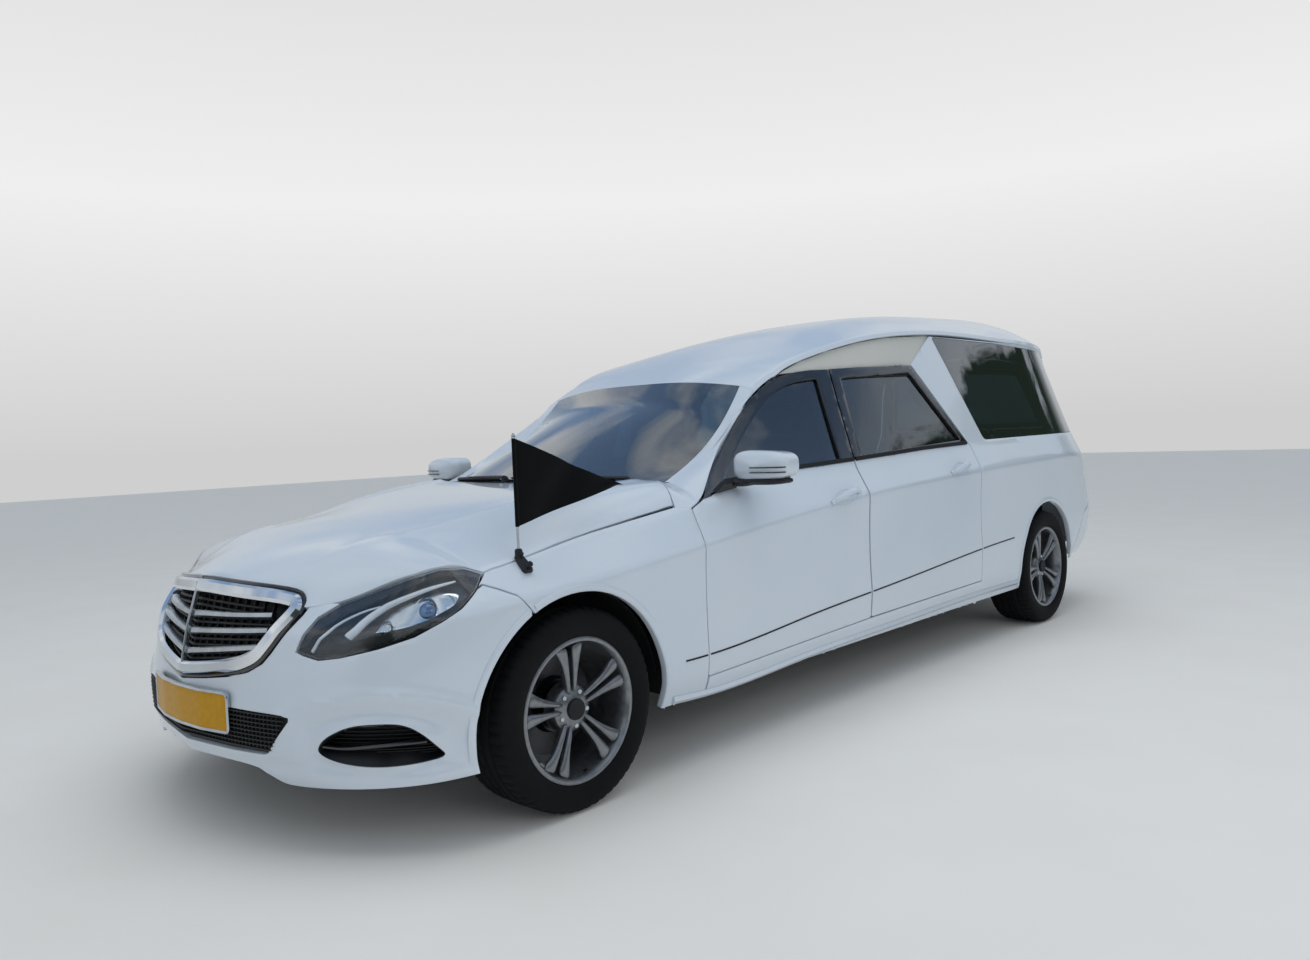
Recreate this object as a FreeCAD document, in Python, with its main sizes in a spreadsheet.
import FreeCAD, Part
import math
import os
import Sketcher
from FreeCAD import Vector

# A hearse on a long wheelbase: four side doors, a bonnet, a rear loading door, a raised domed roof with
# long side windows, and a flag staff on the left front wing.
#
# Frame: X across the vehicle (+X is the vehicle's left), Y along it (the nose points to -Y), Z up from the
# ground. Lengths along the vehicle are given as a station, measured backwards from the front axle.

doc = FreeCAD.newDocument("Hearse")

DIMENSIONS = [
    # along the vehicle
    ("front_axle_y", -1945), ("wheelbase", 3614),
    # wheels
    ("tyre_radius", 318), ("tyre_width", 240), ("tyre_shoulder", 34), ("rim_radius", 226),
    ("rim_width", 214), ("rim_barrel", 12), ("spoke_face", 28), ("face_inset", 8), ("bore_radius", 33),
    ("window_radius", 42), ("window_reach", 148), ("slot_radius", 17), ("slot_reach", 160),
    ("front_hub_x", 790), ("rear_hub_x", 800), ("stub_radius", 32.6), ("disc_radius", 160),
    ("disc_thickness", 26), ("disc_inset", 30), ("upright_inset", 100), ("beam_end", 40),
    ("upright_width", 60), ("upright_length", 100), ("upright_height", 250), ("stub_length", 190),
    ("stub_reach", 90),
    ("front_arch_radius", 388), ("rear_arch_radius", 372), ("arch_liner", 6),
    # shell
    ("panel_gap", 5), ("nose_gap", 11), ("tail_gap", 8), ("skin_thickness", 26),
    ("door_thickness", 100), ("roof_thickness", 50), ("glass_thickness", 6),
    ("floor_bottom", 232), ("floor_thickness", 36),
    # inside
    ("seat_width", 510), ("seat_x", 370), ("headrest_width", 240),
    ("deck_top", 730), ("deck_thickness", 40), ("deck_width", 1080), ("deck_front", 1960),
    ("deck_rear", 4330), ("bearer_width", 40), ("bearer_rear", 3120),
    ("wheel_rim_radius", 185), ("wheel_rim_tube", 16), ("column_radius", 24), ("column_length", 150),
    ("boss_radius", 60), ("boss_depth", 34), ("spoke_length", 360), ("spoke_width", 44),
    ("spoke_depth", 16),
    # machinery
    ("engine_length", 760), ("engine_width", 560), ("engine_height", 450), ("engine_bottom", 304),
    ("engine_front", 430), ("rail_x", 400), ("rail_width", 74), ("rail_height", 100),
    ("rail_bottom", 300), ("rail_front", 600), ("rail_length", 1120), ("member_length", 240),
    ("member_bottom", 172), ("arm_reach", 650), ("arm_length", 80), ("arm_height", 40),
    ("arm_bottom", 172), ("exhaust_radius", 32), ("exhaust_length", 3500), ("exhaust_station", 900),
    ("exhaust_x", 330), ("exhaust_z", 194), ("silencer_width", 230), ("silencer_length", 640),
    ("silencer_height", 70), ("silencer_station", 1500), ("beam_height", 90), ("beam_length", 110),
    # fittings
    ("plate_half", 260), ("plate_height", 113), ("plate_thickness", 5),
    ("staff_x", 815), ("staff_station", 150), ("staff_radius", 4), ("staff_bottom", 808),
    ("staff_height", 364), ("flag_top", 1165), ("flag_hoist", 265), ("flag_fly", 440),
    ("flag_thickness", 6),
]

sheet = doc.addObject("Spreadsheet::Sheet", "Dimensions")
for line, (alias, value) in enumerate(DIMENSIONS, start=1):
    sheet.set("A%d" % line, alias)
    sheet.set("B%d" % line, str(value))
    sheet.setAlias("B%d" % line, alias)
doc.recompute()


def size(alias):
    return float(getattr(sheet, alias))


FRONT_AXLE = size("front_axle_y")
REAR_AXLE = FRONT_AXLE + size("wheelbase")
GAP = size("panel_gap")
NOSE_GAP = size("nose_gap")
TAIL_GAP = size("tail_gap")
WIDE = 1400
TALL = 2400

# Half of the body's section at each station, from the sill up to the crown of the bonnet or roof.
# station | sill x z | lower crease x z | shoulder x z | belt x z | top edge x z | crown z
SECTIONS = [
    (-843, 60, 305, 70, 350, 66, 400, 45, 430, 25, 445, 448),
    (-800, 240, 235, 290, 350, 250, 470, 150, 555, 80, 600, 632),
    (-755, 350, 226, 466, 350, 425, 480, 321, 600, 188, 700, 778),
    (-700, 528, 222, 589, 350, 545, 515, 440, 640, 290, 752, 794),
    (-600, 700, 218, 732, 350, 690, 590, 560, 695, 340, 790, 830),
    (-480, 818, 218, 838, 350, 815, 620, 707, 762, 400, 832, 864),
    (-350, 885, 222, 898, 355, 880, 655, 783, 798, 470, 862, 894),
    (-100, 898, 226, 920, 366, 917, 700, 802, 809, 480, 893, 932),
    (300, 886, 233, 919, 376, 924, 741, 828, 870, 480, 936, 974),
    (505, 887, 235, 921, 379, 925, 762, 850, 900, 560, 948, 990),
    (560, 888, 235, 921, 380, 925, 766, 854, 908, 640, 962, 1028),
    (850, 889, 237, 921, 389, 925, 794, 866, 932, 634, 1101, 1215),
    (1250, 887, 240, 922, 420, 927, 836, 865, 945, 640, 1302, 1398),
    (1450, 886, 240, 921, 432, 927, 853, 865, 956, 650, 1393, 1466),
    (1700, 887, 242, 922, 446, 927, 870, 867, 975, 680, 1484, 1545),
    (2300, 887, 244, 922, 482, 927, 896, 867, 1012, 690, 1590, 1695),
    (2900, 887, 236, 922, 518, 927, 918, 867, 1046, 690, 1630, 1777),
    (3600, 887, 240, 922, 540, 926, 938, 865, 1062, 690, 1640, 1806),
    (4150, 876, 330, 917, 560, 915, 940, 852, 1070, 675, 1618, 1775),
    (4330, 832, 345, 889, 570, 868, 930, 795, 1072, 620, 1588, 1730),
    (4400, 800, 348, 872, 575, 838, 915, 757, 1072, 590, 1560, 1700),
    (4430, 785, 348, 860, 575, 815, 910, 733, 1072, 540, 1380, 1430),
    (4460, 773, 345, 850, 580, 805, 880, 713, 1070, 480, 1290, 1365),
    (4530, 723, 345, 812, 580, 745, 850, 583, 1060, 380, 1140, 1210),
    (4600, 620, 345, 752, 580, 690, 740, 510, 900, 300, 1000, 1052),
    (4660, 380, 345, 642, 575, 560, 690, 420, 800, 260, 850, 872),
    (4700, 330, 400, 493, 560, 430, 650, 330, 700, 200, 738, 748),
    (4738, 180, 530, 200, 560, 200, 600, 160, 615, 90, 625, 628),
]
(STATION, SILL_X, SILL_Z, LOW_X, LOW_Z, SHOULDER_X, SHOULDER_Z, BELT_X, BELT_Z, EDGE_X, EDGE_Z,
 CROWN_Z) = range(12)


TAIL_STARTS = 4200
TAIL_SHARE = 0.4


def ring(row, side=0, top=0, keel=None):
    """Closed section wire, set in by side and top, and ahead by a share of side in the tail."""
    y = FRONT_AXLE + row[STATION] - (TAIL_SHARE * side if row[STATION] > TAIL_STARTS else 0)
    half = [
        (row[SILL_X] - side, row[SILL_Z] if keel is None else keel),
        (row[LOW_X] - side, row[LOW_Z]),
        (row[SHOULDER_X] - side, row[SHOULDER_Z] - 0.3 * top),
        (row[BELT_X] - side, row[BELT_Z] - 0.6 * top),
        (row[EDGE_X] - top, row[EDGE_Z] - top),
    ]
    left = [Vector(x, y, z) for x, z in half]
    right = [Vector(-x, y, z) for x, z in half]
    edges = [Part.makeLine(right[0], left[0])]
    edges += [Part.makeLine(a, b) for a, b in zip(left, left[1:])]
    edges.append(Part.Arc(left[-1], Vector(0, y, row[CROWN_Z] - top), right[-1]).toShape())
    right.reverse()
    edges += [Part.makeLine(a, b) for a, b in zip(right, right[1:])]
    return Part.Wire(edges)


def loft(rows, **inset):
    return Part.makeLoft([ring(row, **inset) for row in rows], True, True)


def across(points, inner=None, outer=None, grow=0):
    """A side-view outline of (station, z) points, grown, as a prism from inner to outer x."""
    inner = -WIDE if inner is None else inner
    outer = WIDE if outer is None else outer
    wire = Part.makePolygon([Vector(inner, FRONT_AXLE + s, z) for s, z in points + points[:1]])
    return swept(wire, Vector(outer - inner, 0, 0), grow)


def upright(points, low=0, high=TALL, grow=0):
    """A plan outline of (x, station) points, grown, as a prism from low to high z."""
    wire = Part.makePolygon([Vector(x, FRONT_AXLE + s, low) for x, s in points + points[:1]])
    return swept(wire, Vector(0, 0, high - low), grow)


def lengthwise(points, front, rear, grow=0):
    """A front-view outline of (x, z) points, grown, as a prism between two stations."""
    wire = Part.makePolygon([Vector(x, FRONT_AXLE + front, z) for x, z in points + points[:1]])
    return swept(wire, Vector(0, rear - front, 0), grow)


def swept(wire, path, grow):
    if grow:
        wire = wire.makeOffset2D(grow, 2)
    return Part.Face(wire).extrude(path)


def block(x0, x1, s0, s1, z0, z1):
    return Part.makeBox(x1 - x0, s1 - s0, z1 - z0, Vector(x0, FRONT_AXLE + s0, z0))


def tube_x(radius, x0, x1, station, z):
    return Part.makeCylinder(radius, x1 - x0, Vector(x0, FRONT_AXLE + station, z), Vector(1, 0, 0))


def mirror_x(shape):
    return shape.mirror(Vector(0, 0, 0), Vector(1, 0, 0))


def main_solid(shape):
    """The one large solid of a cut, without the splinters that a boolean may leave."""
    return max(shape.Solids, key=lambda solid: solid.Volume)


def feature(label, shape):
    item = doc.addObject("Part::Feature", label)
    item.Label = label
    item.Shape = shape
    item.Placement = FreeCAD.Placement()
    return item


subparts = []


def keep(label, shape):
    subparts.append(feature(label, shape))


def keep_pair(stem, shape):
    keep(stem + "_left", shape)
    keep(stem + "_right", mirror_x(shape))


def bound(kind, name, **links):
    """A primitive whose properties follow the sheet's cells or formulas on them."""
    item = doc.addObject("Part::" + kind, name)
    for prop, formula in links.items():
        item.setExpression(prop.replace("_", "."), formula)
    return item


def cell(text):
    """Writes the sheet's name before each alias in a formula."""
    words = [alias for alias, _ in DIMENSIONS]
    parts, word = [], ""
    for letter in text + " ":
        if letter.isalnum() or letter == "_":
            word += letter
        else:
            parts.append("Dimensions." + word if word in words else word)
            parts.append(letter)
            word = ""
    return "".join(parts).strip()


def box(name, length, width, height, x, y, z):
    item = bound("Box", name, Length=cell(length), Width=cell(width), Height=cell(height))
    place(item, x, y, z)
    return item


def rod(name, radius, length, x, y, z, axis=Vector(0, 0, 1)):
    item = bound("Cylinder", name, Radius=cell(radius), Height=cell(length))
    item.Placement = FreeCAD.Placement(Vector(), FreeCAD.Rotation(Vector(0, 0, 1), axis))
    place(item, x, y, z)
    return item


def place(item, x, y, z):
    for letter, formula in (("x", x), ("y", y), ("z", z)):
        item.setExpression("Placement.Base." + letter, cell(formula))


def joined(label, *members):
    item = doc.addObject("Part::MultiFuse", label)
    item.Label = label
    item.Shapes = list(members)
    item.Refine = True
    subparts.append(item)
    return item


# --- the shell that every panel is cut from --------------------------------------------------------
outer = loft(SECTIONS)
inner_rows = [row for row in SECTIONS if -700 <= row[STATION] <= 4600]
hollow = loft(inner_rows, side=size("door_thickness"), top=size("roof_thickness"), keel=100)
skin_rows = [row for row in SECTIONS if -800 <= row[STATION] <= 4660]
skin_hollow = loft(skin_rows, side=size("skin_thickness"), top=size("skin_thickness"), keel=90)
glass_hollow = loft(skin_rows, side=size("glass_thickness"), top=size("glass_thickness"), keel=80)
shell = outer.cut(hollow)
skin = outer.cut(skin_hollow)
pane = outer.cut(glass_hollow)

# --- outlines in side view (station, z) ------------------------------------------------------------
FRONT_DOOR = [(597, 305), (1686, 336), (1686, 1000), (1726, 1414), (1600, 1407), (1443, 1384)]
FRONT_DOOR += [(1340, 1342), (1132, 1216), (909, 1065), (681, 924), (597, 893)]
FRONT_WINDOW = [(850, 984), (1597, 1022), (1638, 1376), (1600, 1373), (1455, 1350), (1360, 1312)]
FRONT_WINDOW += [(1152, 1180), (930, 1034)]
REAR_DOOR = [(1696, 338), (2770, 350), (2770, 1044), (2752, 1053), (2410, 1447), (1953, 1428)]
REAR_DOOR += [(1737, 1416), (1696, 1000)]
REAR_WINDOW = [(1750, 1030), (2688, 1068), (2394, 1404), (1953, 1388), (1788, 1378)]
LOAD_WINDOW = [(2945, 1064), (4290, 1074), (4110, 1602), (2720, 1606)]
ROOF_LINE = [(1140, 1305), (1270, 1350), (1452, 1424), (1577, 1466), (1763, 1508), (2017, 1552)]
ROOF_LINE += [(2278, 1586), (2655, 1616), (3520, 1618), (4110, 1614), (4330, 1592), (4450, 1560)]
ROOF = ROOF_LINE + [(4450, 2000), (1140, 2000)]
HEADLAMP = [(-707, 583), (-681, 563), (-583, 594), (-510, 624), (-447, 660), (-393, 692)]
HEADLAMP += [(-332, 735), (-285, 781), (-331, 800), (-397, 803), (-453, 786), (-521, 749)]
HEADLAMP += [(-593, 710), (-644, 675), (-687, 631)]
SIDE_INTAKE = [(-711, 313), (-690, 364), (-656, 389), (-603, 393), (-566, 388), (-533, 362)]
SIDE_INTAKE += [(-498, 316), (-481, 289), (-534, 275), (-606, 270), (-658, 276), (-691, 290)]
TAIL_LAMP = [(4395, 1020), (4700, 1000), (4700, 800), (4430, 815)]
WING = [(-224, 714), (-312, 753), (-280, 785), (-345, 806), (-345, 1000), (592, 1000), (592, 225)]
WING += [(150, 225), (150, 500), (-186, 664)]
NOSE = [(-900, 100), (-120, 100), (-190, 656), (-230, 706), (-318, 745), (-290, 781), (-330, 830)]
NOSE += [(-900, 830)]
REAR_SKIRT = [(4000, 100), (4900, 100), (4900, 690), (4440, 690), (4230, 560), (4000, 450)]
GATE_SILL = [(4000, 0), (5000, 0), (5000, 700), (4000, 700)]

# --- outlines in plan (x, station), half -----------------------------------------------------------
BONNET = [(0, -742), (300, -700), (415, -655), (500, -600), (600, -520), (680, -440), (770, -350)]
BONNET += [(792, -270), (793, 588), (660, 583), (500, 545), (250, 512), (0, 500)]
COWL = [(0, 508), (250, 520), (500, 553), (652, 591), (648, 648), (500, 586), (250, 552), (0, 541)]
WINDSCREEN = [(0, 545), (250, 556), (500, 590), (655, 655), (570, 1268), (300, 1225), (0, 1215)]

# --- outlines from ahead or behind (x, z), half ----------------------------------------------------
TAILGATE = [(0, 640), (640, 640), (700, 940), (640, 1100), (500, 1520), (0, 1590)]
TAILGATE_WINDOW = [(0, 1105), (560, 1105), (450, 1490), (0, 1530)]
GRILLE = [(0, 478), (235, 503), (325, 522), (395, 556), (452, 680), (440, 735), (400, 750), (0, 775)]
LOWER_INTAKE = [(0, 298), (405, 300), (500, 408), (0, 412)]
# Each grille opening: its low and high edge at the centre bar, then at the frame.
GRILLE_OPENINGS = [(500, 541, 556, 578), (561, 603, 598, 626), (623, 655, 646, 668), (675, 728, 688, 712)]


def both_sides(half):
    """A whole outline from the half at x >= 0 that starts and ends on the centre plane."""
    return half + [(-x, other) for x, other in reversed(half) if x > 0]


bonnet_plan = both_sides(BONNET)
cowl_plan = both_sides(COWL)
windscreen_plan = both_sides(WINDSCREEN)
tailgate_back = both_sides(TAILGATE)
tailgate_window_back = both_sides(TAILGATE_WINDOW)
grille_front = both_sides(GRILLE)

front_arch = tube_x(size("front_arch_radius"), -WIDE, WIDE, -12, 305)
rear_arch = tube_x(size("rear_arch_radius"), -WIDE, WIDE, size("wheelbase") + 8, 322)
bonnet_gap = upright(bonnet_plan, low=600, grow=GAP)
nose_gap = upright(bonnet_plan, low=600, grow=NOSE_GAP)
lamp_gap = across(HEADLAMP, grow=3)
roof_gap = across(ROOF, grow=GAP)
left_half = block(0, WIDE, -1000, 5000, 0, TALL)

# --- doors -----------------------------------------------------------------------------------------
SET_IN = -24


def door(outline, window):
    """A full-thickness door set in behind its outer skin, with its window cut through."""
    frame = shell.common(across(outline, inner=300, grow=SET_IN))
    body = skin.common(across(outline, inner=300)).fuse(frame)
    return main_solid(body.cut(across(window, inner=300)).removeSplitter())


def window_pane(outline):
    return main_solid(pane.common(across(outline, inner=300)))


keep_pair("front_door", door(FRONT_DOOR, FRONT_WINDOW))
keep_pair("rear_door", door(REAR_DOOR, REAR_WINDOW))
keep_pair("front_door_window", window_pane(FRONT_WINDOW))
keep_pair("rear_door_window", window_pane(REAR_WINDOW))

# --- body side: sill, pillars, rear quarter --------------------------------------------------------
side = shell.common(left_half).common(block(200, WIDE, 597 - GAP, 4450, 0, TALL))
for outline in (FRONT_DOOR, REAR_DOOR):
    side = side.cut(across(outline, grow=GAP))
side = side.cut(across(LOAD_WINDOW)).cut(rear_arch).cut(roof_gap).cut(across(TAIL_LAMP, grow=2))
side = side.cut(upright(windscreen_plan, low=900, grow=2)).cut(upright(cowl_plan, low=700, grow=3))
side = side.cut(bonnet_gap).cut(lengthwise(tailgate_back, 4150, 4900, grow=TAIL_GAP))
rear_bumper_zone = across(REAR_SKIRT)
side = side.cut(rear_bumper_zone)

# The centre pillar stands just inboard of the shut doors and joins the sill and the roof rail.
POST, POST_FOOT, POST_HEAD = (1655, 1725), (268, 325), (1438, 1470)
post_slab = block(400, WIDE, *POST, POST_FOOT[0], 1560)
post_core = loft(inner_rows, side=size("door_thickness") + 50, top=size("roof_thickness") + 40, keel=100)
post_face = loft(inner_rows, side=size("door_thickness") + 8, top=size("roof_thickness"), keel=100)
post = post_slab.common(post_face).cut(post_core)
for reach in (POST_FOOT, POST_HEAD):
    foot = block(400, WIDE, *POST, *reach)
    post = post.fuse(foot.common(hollow).cut(post_core))
side = main_solid(side).fuse(post).removeSplitter()
keep_pair("body_side", main_solid(side))

# --- roof, glass -----------------------------------------------------------------------------------
roof = shell.common(across(ROOF)).cut(upright(windscreen_plan, low=900, grow=2))
roof = roof.cut(lengthwise(tailgate_back, 4150, 4900, grow=TAIL_GAP))
keep("roof", main_solid(roof))
keep("windscreen", main_solid(pane.common(upright(windscreen_plan, low=900))))
load_window = pane.common(across(LOAD_WINDOW, inner=300))
keep_pair("load_window", main_solid(load_window))

# --- front: wings, bonnet, cowl, bumper ------------------------------------------------------------
wing = skin.common(left_half).common(across(WING, inner=200)).cut(bonnet_gap).cut(front_arch).cut(lamp_gap)
wing = wing.cut(upright(cowl_plan, low=700, grow=3))
keep_pair("front_wing", main_solid(wing))
keep("bonnet", main_solid(skin.common(upright(bonnet_plan, low=600))))
keep("cowl_panel", main_solid(skin.common(upright(cowl_plan, low=700))))

bumper = shell.common(across(NOSE))
bumper = bumper.cut(nose_gap).cut(front_arch).cut(lamp_gap).cut(lengthwise(grille_front, -900, -600))
bumper = bumper.cut(lengthwise(both_sides(LOWER_INTAKE), -900, -560))
intake = across(SIDE_INTAKE, inner=540)
bumper = bumper.cut(intake).cut(mirror_x(intake))
house_room = tube_x(size("front_arch_radius") + size("arch_liner"), 400, 867, -12, 305)
bumper = bumper.cut(house_room).cut(mirror_x(house_room))
keep("front_bumper", main_solid(bumper))
lamp = skin.common(across(HEADLAMP, inner=300)).cut(nose_gap)
keep_pair("headlamp", main_solid(lamp.cut(lengthwise(grille_front, -900, -600, grow=4))))

grille = skin.common(lengthwise(grille_front, -900, -500, grow=-4)).cut(nose_gap)
BAR_HALF, OPENING_END = 22, 366
for low_mid, high_mid, low_end, high_end in GRILLE_OPENINGS:
    slot = lengthwise([(BAR_HALF, low_mid), (OPENING_END, low_end), (OPENING_END, high_end),
                       (BAR_HALF, high_mid)], -900, -500)
    grille = grille.cut(slot).cut(mirror_x(slot))
keep("grille", main_solid(grille))

# --- tail ------------------------------------------------------------------------------------------
tail_zone = lengthwise(tailgate_back, 4200, 4900)
tail_core = lengthwise(tailgate_back, 4200, 4900, grow=-20)
behind = block(-WIDE, WIDE, 4250, 4900, 0, TALL)
tailgate = skin.common(tail_zone).fuse(shell.common(tail_core)).common(behind)
tailgate = tailgate.cut(lengthwise(tailgate_window_back, 4100, 4900)).cut(across(GATE_SILL))
keep("tailgate", main_solid(tailgate.removeSplitter()))
keep("tailgate_window", main_solid(pane.common(lengthwise(tailgate_window_back, 4250, 4900))))
gate_room = lengthwise(tailgate_back, 4150, 4900, grow=TAIL_GAP)
bumper = shell.common(rear_bumper_zone).cut(rear_arch).cut(gate_room)
keep("rear_bumper", main_solid(bumper))

tail_lamp = skin.common(left_half).common(across(TAIL_LAMP))
tail_lamp = main_solid(tail_lamp.cut(gate_room))
keep("tail_lamps", Part.Compound([tail_lamp, mirror_x(tail_lamp)]))

# --- underbody -------------------------------------------------------------------------------------
floor_low = size("floor_bottom")
floor_high = floor_low + size("floor_thickness")
FLOOR_SIDE, FLOOR_FRONT, FLOOR_REAR = 780, 520, 3240
REAR_FLOOR_LOW, REAR_FLOOR_HIGH, REAR_FLOOR_SIDE, KICK_UP = 560, 596, 560, 3130
BULKHEAD_SIDE, BULKHEAD_TOP = 760, 850
FRONT_HOUSE, REAR_HOUSE = (474, 866), (560, 776)


def wheel_house(radius, walls, station, z):
    """Half a drum over a wheel with an inner wall, open below and outward."""
    liner = size("arch_liner")
    drum = tube_x(radius + liner, walls[0], walls[1], station, z)
    drum = drum.cut(tube_x(radius, walls[0] + liner, walls[1], station, z))
    return drum.common(block(0, WIDE, station - 600, station + 600, z + 55, TALL))


front_house = wheel_house(size("front_arch_radius"), FRONT_HOUSE, -12, 305)
rear_house = wheel_house(size("rear_arch_radius"), REAR_HOUSE, size("wheelbase") + 8, 322)
keep("front_wheel_housings", Part.Compound([front_house, mirror_x(front_house)]))
keep("rear_wheel_housings", Part.Compound([rear_house, mirror_x(rear_house)]))
SHEET = 36
keep("bulkhead",
     block(-BULKHEAD_SIDE, BULKHEAD_SIDE, FLOOR_FRONT, FLOOR_FRONT + SHEET, floor_high, BULKHEAD_TOP))
floor_pan = block(-FLOOR_SIDE, FLOOR_SIDE, FLOOR_FRONT, FLOOR_REAR, floor_low, floor_high)
kick_up = block(-REAR_FLOOR_SIDE, REAR_FLOOR_SIDE, KICK_UP, KICK_UP + SHEET, floor_high, REAR_FLOOR_LOW)
rear_floor = block(-REAR_FLOOR_SIDE, REAR_FLOOR_SIDE, KICK_UP, 4440, REAR_FLOOR_LOW, REAR_FLOOR_HIGH)
keep("floor_pan", main_solid(floor_pan.multiFuse([kick_up, rear_floor]).removeSplitter()))

# --- cabin -----------------------------------------------------------------------------------------
cabin = loft(inner_rows, side=size("door_thickness") + 15, top=size("roof_thickness") + 6, keel=floor_high)
COLUMN_TILT = 25
wheel_centre = Vector(size("seat_x"), FRONT_AXLE + 1030, 905)
column_axis = Vector(0, math.cos(math.radians(COLUMN_TILT)), math.sin(math.radians(COLUMN_TILT)))
DASH = [(640, 560), (640, 900), (760, 975), (900, 960), (950, 880), (940, 700), (860, 560)]
dashboard = cabin.common(across(DASH))
dashboard = dashboard.cut(Part.makeCylinder(34, 400, wheel_centre - column_axis * 400, column_axis))
keep("dashboard", main_solid(dashboard))
partition = cabin.common(block(-WIDE, WIDE, 1900, 1924, floor_high, TALL))
partition = partition.cut(block(-560, 560, 1900, 1924, 1000, 1340))
keep("partition", main_solid(partition))

SEAT = [(1190, floor_high), (1190, 440), (1160, 500), (1210, 565), (1640, 520), (1790, 1130)]
SEAT += [(1860, 1120), (1790, 500), (1760, floor_high)]
HEADREST = [(1800, 1130), (1812, 1300), (1872, 1290), (1860, 1120)]
half_seat, half_rest = size("seat_width") / 2, size("headrest_width") / 2
seat = across(SEAT, inner=size("seat_x") - half_seat, outer=size("seat_x") + half_seat)
headrest = across(HEADREST, inner=size("seat_x") - half_rest, outer=size("seat_x") + half_rest)
seat = main_solid(seat.fuse(headrest).removeSplitter())
keep("front_seats", Part.Compound([seat, mirror_x(seat)]))


ALONG_X, ALONG_Y = Vector(1, 0, 0), Vector(0, 1, 0)

deck = box("deck_board", "deck_width", "deck_rear - deck_front", "deck_thickness",
           "-deck_width / 2", "front_axle_y + deck_front", "deck_top - deck_thickness")
bearers = []
for hand, x in (("left", "deck_width / 2 - bearer_width"), ("right", "-deck_width / 2")):
    bearers.append(box("deck_bearer_" + hand, "bearer_width", "bearer_rear - deck_front",
                       "deck_top - deck_thickness - floor_bottom - floor_thickness", x,
                       "front_axle_y + deck_front", "floor_bottom + floor_thickness"))
joined("casket_deck", deck, *bearers)

turn = FreeCAD.Rotation(Vector(0, 0, 1), column_axis)
wheel_ring = bound("Torus", "wheel_ring", Radius1=cell("wheel_rim_radius"), Radius2=cell("wheel_rim_tube"))
wheel_ring.Placement = FreeCAD.Placement(wheel_centre, turn)
boss = bound("Cylinder", "wheel_boss", Radius=cell("boss_radius"), Height=cell("boss_depth"))
boss.Placement = FreeCAD.Placement(wheel_centre - column_axis * (size("boss_depth") - 10), turn)
column = bound("Cylinder", "steering_column", Radius=cell("column_radius"), Height=cell("column_length"))
column.Placement = FreeCAD.Placement(wheel_centre - column_axis * (size("column_length") + 20), turn)
spoke = bound("Box", "wheel_spokes", Length=cell("spoke_length"), Width=cell("spoke_width"),
              Height=cell("spoke_depth"))
corner = Vector(-size("spoke_length") / 2, -size("spoke_width") / 2, -size("spoke_depth") / 2)
spoke.Placement = FreeCAD.Placement(wheel_centre + turn.multVec(corner), turn)
joined("steering_wheel", wheel_ring, boss, column, spoke)

# --- machinery -------------------------------------------------------------------------------------
engine = box("engine_block", "engine_width", "engine_length", "engine_height",
             "-engine_width / 2", "front_axle_y - engine_front", "engine_bottom")
engine.Label = "engine_block"
subparts.append(engine)

rails = [box("chassis_rail_" + hand, "rail_width", "rail_length", "rail_height", x,
             "front_axle_y - rail_front", "rail_bottom")
         for hand, x in (("left", "rail_x"), ("right", "-rail_x - rail_width"))]
member = box("cross_member", "2 * (rail_x + rail_width)", "member_length", "rail_bottom - member_bottom",
             "-rail_x - rail_width", "front_axle_y - member_length / 2", "member_bottom")
arms = [box("lower_arm_" + hand, "arm_reach - rail_x - rail_width", "arm_length", "arm_height", x,
            "front_axle_y - arm_length / 2", "arm_bottom")
        for hand, x in (("left", "rail_x + rail_width"), ("right", "-arm_reach"))]
# The rails and arms are bolted to the cross member, so each stays a solid of its own.
subframe = doc.addObject("Part::Compound", "front_subframe")
subframe.Label = "front_subframe"
subframe.Links = [member] + arms + rails
subparts.append(subframe)
joined("exhaust",
       rod("exhaust_pipe", "exhaust_radius", "exhaust_length", "-exhaust_x",
           "front_axle_y + exhaust_station", "exhaust_z", ALONG_Y),
       box("silencer", "silencer_width", "silencer_length", "silencer_height",
           "-exhaust_x - silencer_width / 2", "front_axle_y + silencer_station",
           "exhaust_z - silencer_height / 2"))

for hand, sign in (("left", 1), ("right", -1)):
    upright_x = "front_hub_x - upright_inset" if sign > 0 else "upright_inset - upright_width - front_hub_x"
    joined("knuckle_" + hand,
           box("upright_" + hand, "upright_width", "upright_length", "upright_height", upright_x,
               "front_axle_y - upright_length / 2", "tyre_radius - upright_height / 2"),
           rod("stub_" + hand, "stub_radius", "stub_length", "%d * (front_hub_x - upright_inset)" % sign,
               "front_axle_y", "tyre_radius", Vector(sign, 0, 0)))
joined("rear_axle",
       box("rear_beam", "2 * (rear_hub_x - beam_end)", "beam_length", "beam_height",
           "-rear_hub_x + beam_end", "front_axle_y + wheelbase - beam_length / 2",
           "tyre_radius - beam_height / 2"),
       rod("rear_stubs", "stub_radius", "2 * (rear_hub_x + stub_reach)", "-rear_hub_x - stub_reach",
           "front_axle_y + wheelbase", "tyre_radius", ALONG_X))


# --- wheels ----------------------------------------------------------------------------------------
def origin_plane(body, role):
    return [part for part in body.Origin.OriginFeatures if part.Role == role][0]


def closed_sketch(body, name, role, points):
    """A fixed outline sketch on one of the body's origin planes."""
    sketch = body.newObject("Sketcher::SketchObject", name)
    sketch.AttachmentSupport = [(origin_plane(body, role), "")]
    sketch.MapMode = "FlatFace"
    ends = [Vector(a, b, 0) for a, b in points]
    for start, end in zip(ends, ends[1:] + ends[:1]):
        sketch.addGeometry(Part.LineSegment(start, end))
    return sketch


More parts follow.
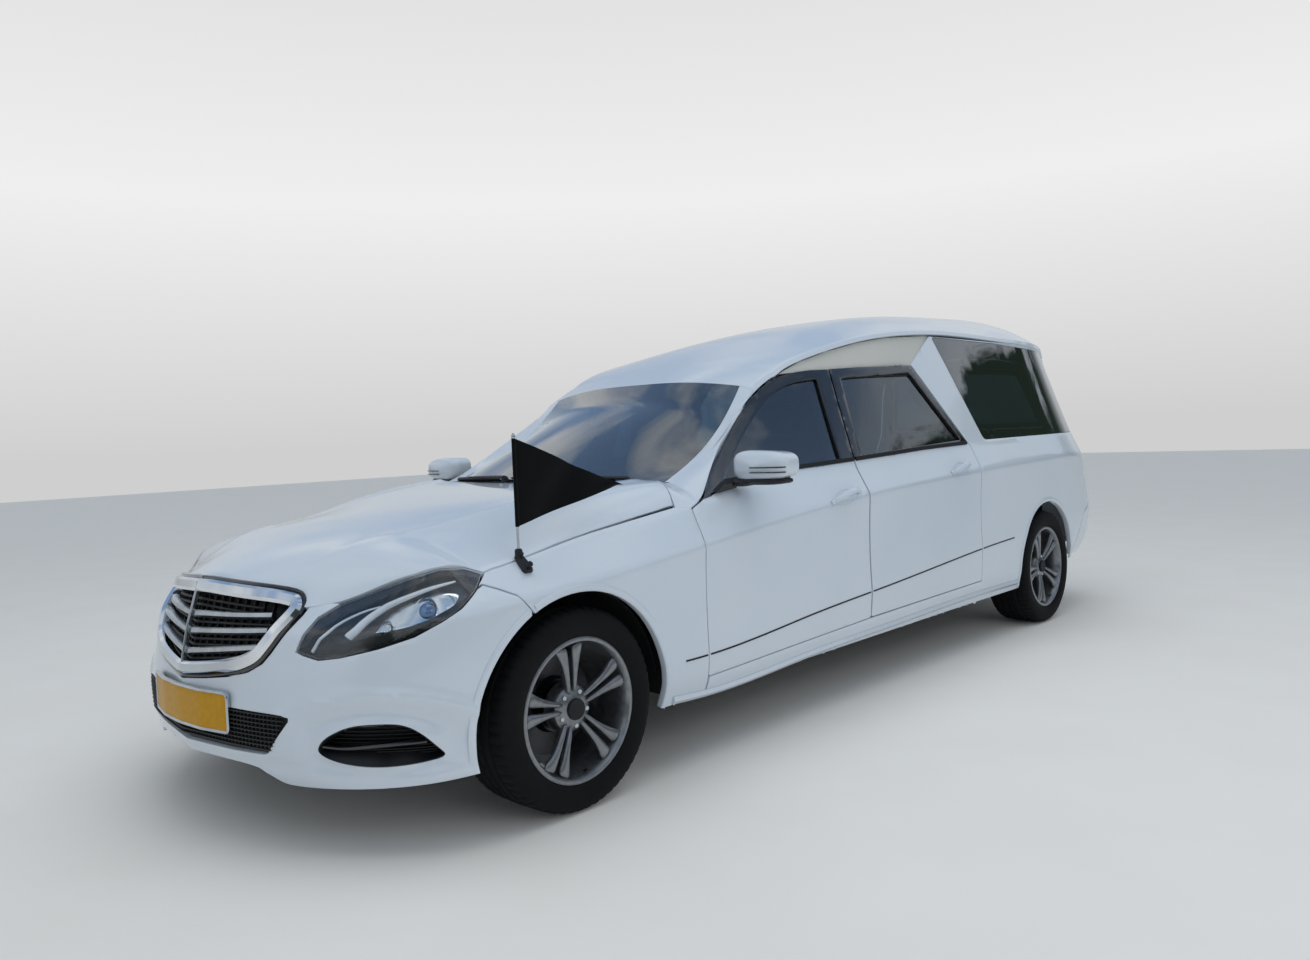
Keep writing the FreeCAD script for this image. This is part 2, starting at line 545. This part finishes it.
def ring_sketch(body, name, inner_cell, outer_cell, width_cell):
    """A rectangle above the axle, bound to the sheet: its inner radius, its outer radius and its width."""
    sketch = closed_sketch(body, name, "XZ_Plane", [(-50, 100), (50, 100), (50, 200), (-50, 200)])
    for first, second in ((0, 1), (1, 2), (2, 3), (3, 0)):
        sketch.addConstraint(Sketcher.Constraint("Coincident", first, 2, second, 1))
    for index, kind in enumerate(("Vertical", "Horizontal", "Vertical"), start=1):
        sketch.addConstraint(Sketcher.Constraint(kind, index))
    sketch.addConstraint(Sketcher.Constraint("Symmetric", 0, 1, 0, 2, -2))
    links = [("DistanceX", (0, 1, 0, 2, 100), width_cell), ("DistanceY", (-1, 1, 0, 1, 100), inner_cell),
             ("DistanceY", (-1, 1, 2, 1, 200), outer_cell)]
    for kind, args, formula in links:
        index = sketch.addConstraint(Sketcher.Constraint(kind, *args))
        sketch.setExpression("Constraints[%d]" % index, cell(formula))
    return sketch


def turned(body, name, sketch):
    solid = body.newObject("PartDesign::Revolution", name)
    solid.Profile = sketch
    solid.ReferenceAxis = (sketch, ["H_Axis"])
    solid.Angle = 360
    return solid


def wheel_place(sign, axle):
    axle_y = REAR_AXLE if axle == "rear" else FRONT_AXLE
    spot = Vector(sign * size(axle + "_hub_x"), axle_y, size("tyre_radius"))
    return FreeCAD.Placement(spot, FreeCAD.Rotation(Vector(0, 0, 1), 0 if sign > 0 else 180))


def tyre(label, spot):
    body = doc.addObject("PartDesign::Body", label)
    body.Label = label
    profile = ring_sketch(body, label + "_profile", "rim_radius", "tyre_radius", "tyre_width")
    band = turned(body, label + "_band", profile)
    doc.recompute()
    rounded = body.newObject("PartDesign::Fillet", label + "_shoulders")
    rims = ["Edge%d" % (i + 1) for i, edge in enumerate(band.Shape.Edges)
            if hasattr(edge.Curve, "Radius") and edge.Curve.Radius > size("tyre_radius") - 1]
    rounded.Base = (band, rims)
    rounded.setExpression("Radius", cell("tyre_shoulder"))
    body.Tip = rounded
    body.Placement = spot
    subparts.append(body)


def rim(label, spot):
    body = doc.addObject("PartDesign::Body", label)
    body.Label = label
    half, bore, rim_edge = size("rim_width") / 2, size("bore_radius"), size("rim_radius")
    barrel, front = rim_edge - size("rim_barrel"), half - size("face_inset")
    back = front - size("spoke_face")
    profile = [(-half, barrel), (back, barrel), (back, bore), (front, bore), (front, barrel),
               (half, barrel), (half, rim_edge), (-half, rim_edge)]
    turned(body, label + "_barrel", closed_sketch(body, label + "_profile", "XZ_Plane", profile))
    doc.recompute()
    for name, turn_deg in (("window", 0), ("slot", 36)):
        radius, reach = size(name + "_radius"), size(name + "_reach")
        sketch = body.newObject("Sketcher::SketchObject", "%s_%s_sketch" % (label, name))
        sketch.AttachmentSupport = [(origin_plane(body, "YZ_Plane"), "")]
        sketch.MapMode = "FlatFace"
        angle = math.radians(turn_deg)
        centre = Vector(reach * math.cos(angle), reach * math.sin(angle), 0)
        sketch.addGeometry(Part.Circle(centre, Vector(0, 0, 1), radius))
        pocket = body.newObject("PartDesign::Pocket", "%s_%s" % (label, name))
        pocket.Profile = sketch
        pocket.Type = "ThroughAll"
        pocket.Midplane = True
        pattern = body.newObject("PartDesign::PolarPattern", "%s_%s_pattern" % (label, name))
        pattern.Originals = [pocket]
        pattern.Axis = (sketch, ["N_Axis"])
        pattern.Angle = 360
        pattern.Occurrences = 5
        body.Tip = pattern
        doc.recompute()
    body.Placement = spot
    subparts.append(body)


def brake_disc(label, spot, sign):
    plate = bound("Cylinder", label + "_plate", Radius=cell("disc_radius"), Height=cell("disc_thickness"))
    bore = bound("Cylinder", label + "_bore", Radius=cell("bore_radius"), Height=cell("disc_thickness"))
    for item in (plate, bore):
        item.Placement = FreeCAD.Placement(spot.Base - Vector(sign * size("disc_inset"), 0, 0),
                                           FreeCAD.Rotation(Vector(0, 0, 1), Vector(sign, 0, 0)))
    disc = doc.addObject("Part::Cut", label)
    disc.Label = label
    disc.Base = plate
    disc.Tool = bore
    subparts.append(disc)


for axle in ("front", "rear"):
    for hand, sign in (("left", 1), ("right", -1)):
        spot = wheel_place(sign, axle)
        tyre("tyre_%s_%s" % (axle, hand), spot)
        rim("rim_%s_%s" % (axle, hand), spot)
        brake_disc("brake_disc_%s_%s" % (axle, hand), spot, sign)

# --- fittings --------------------------------------------------------------------------------------
door_left = [item for item in subparts if item.Label == "front_door_left"][0].Shape
MIRROR_HEAD = [(880, 975), (1055, 983), (1072, 1030), (1055, 1076), (905, 1088), (868, 1050)]
MIRROR_ARM = [(850, 948), (925, 948), (935, 990), (850, 990)]
mirror = lengthwise(MIRROR_HEAD, 795, 915).fuse(lengthwise(MIRROR_ARM, 800, 880))
keep_pair("door_mirror", main_solid(mirror.cut(door_left).cut(outer).removeSplitter()))

PLATE_FRONT = [(-260, -822), (-130, -851), (0, -861), (130, -851), (260, -822)]
plate_back = [(x, station + size("plate_thickness")) for x, station in reversed(PLATE_FRONT)]
front_plate = upright(PLATE_FRONT + plate_back, low=338, high=338 + size("plate_height"))
plate_half, rear_face = size("plate_half"), 4745.5
rear_plate = block(-plate_half, plate_half, rear_face, rear_face + size("plate_thickness"),
                   535, 535 + size("plate_height"))
keep("number_plates", Part.Compound([front_plate, rear_plate]))

# The clamp hangs over the wing's upper edge and carries the staff.
CLAMP = [(806, 818), (806, 806), (882, 738), (896, 750), (836, 818)]
clamp = lengthwise(CLAMP, -167, -133).cut(outer)
keep("staff_clamp", main_solid(clamp))
staff = rod("flag_staff", "staff_radius", "staff_height", "staff_x", "front_axle_y - staff_station",
            "staff_bottom + 10")
staff.Label = "flag_staff"
subparts.append(staff)
flag_body = doc.addObject("PartDesign::Body", "flag")
flag_body.Label = "flag"
FLAG_TIP_DROP = 160
hoist = size("staff_radius") + 1
pennant = closed_sketch(flag_body, "pennant_outline", "YZ_Plane",
                        [(hoist, 0), (hoist, -size("flag_hoist")), (size("flag_fly"), -FLAG_TIP_DROP)])
cloth = flag_body.newObject("PartDesign::Pad", "cloth")
cloth.Profile = pennant
cloth.setExpression("Length", cell("flag_thickness"))
cloth.Midplane = True
flag_body.Placement.Base = Vector(size("staff_x"), FRONT_AXLE - size("staff_station"), size("flag_top"))
subparts.append(flag_body)

doc.recompute()
problems = [item.Label for item in doc.Objects if {"Invalid", "Error"} & set(item.State)]
problems += [item.Label for item in subparts if item.Shape.isNull() or not item.Shape.isValid()]
if problems:
    raise RuntimeError("failed objects: " + ", ".join(problems))

os.makedirs("parts", exist_ok=True)
for item in subparts:
    print(item.Label, len(item.Shape.Solids), round(item.Shape.Volume / 1e6, 2))
    item.Shape.exportStep("parts/%s.step" % item.Label)
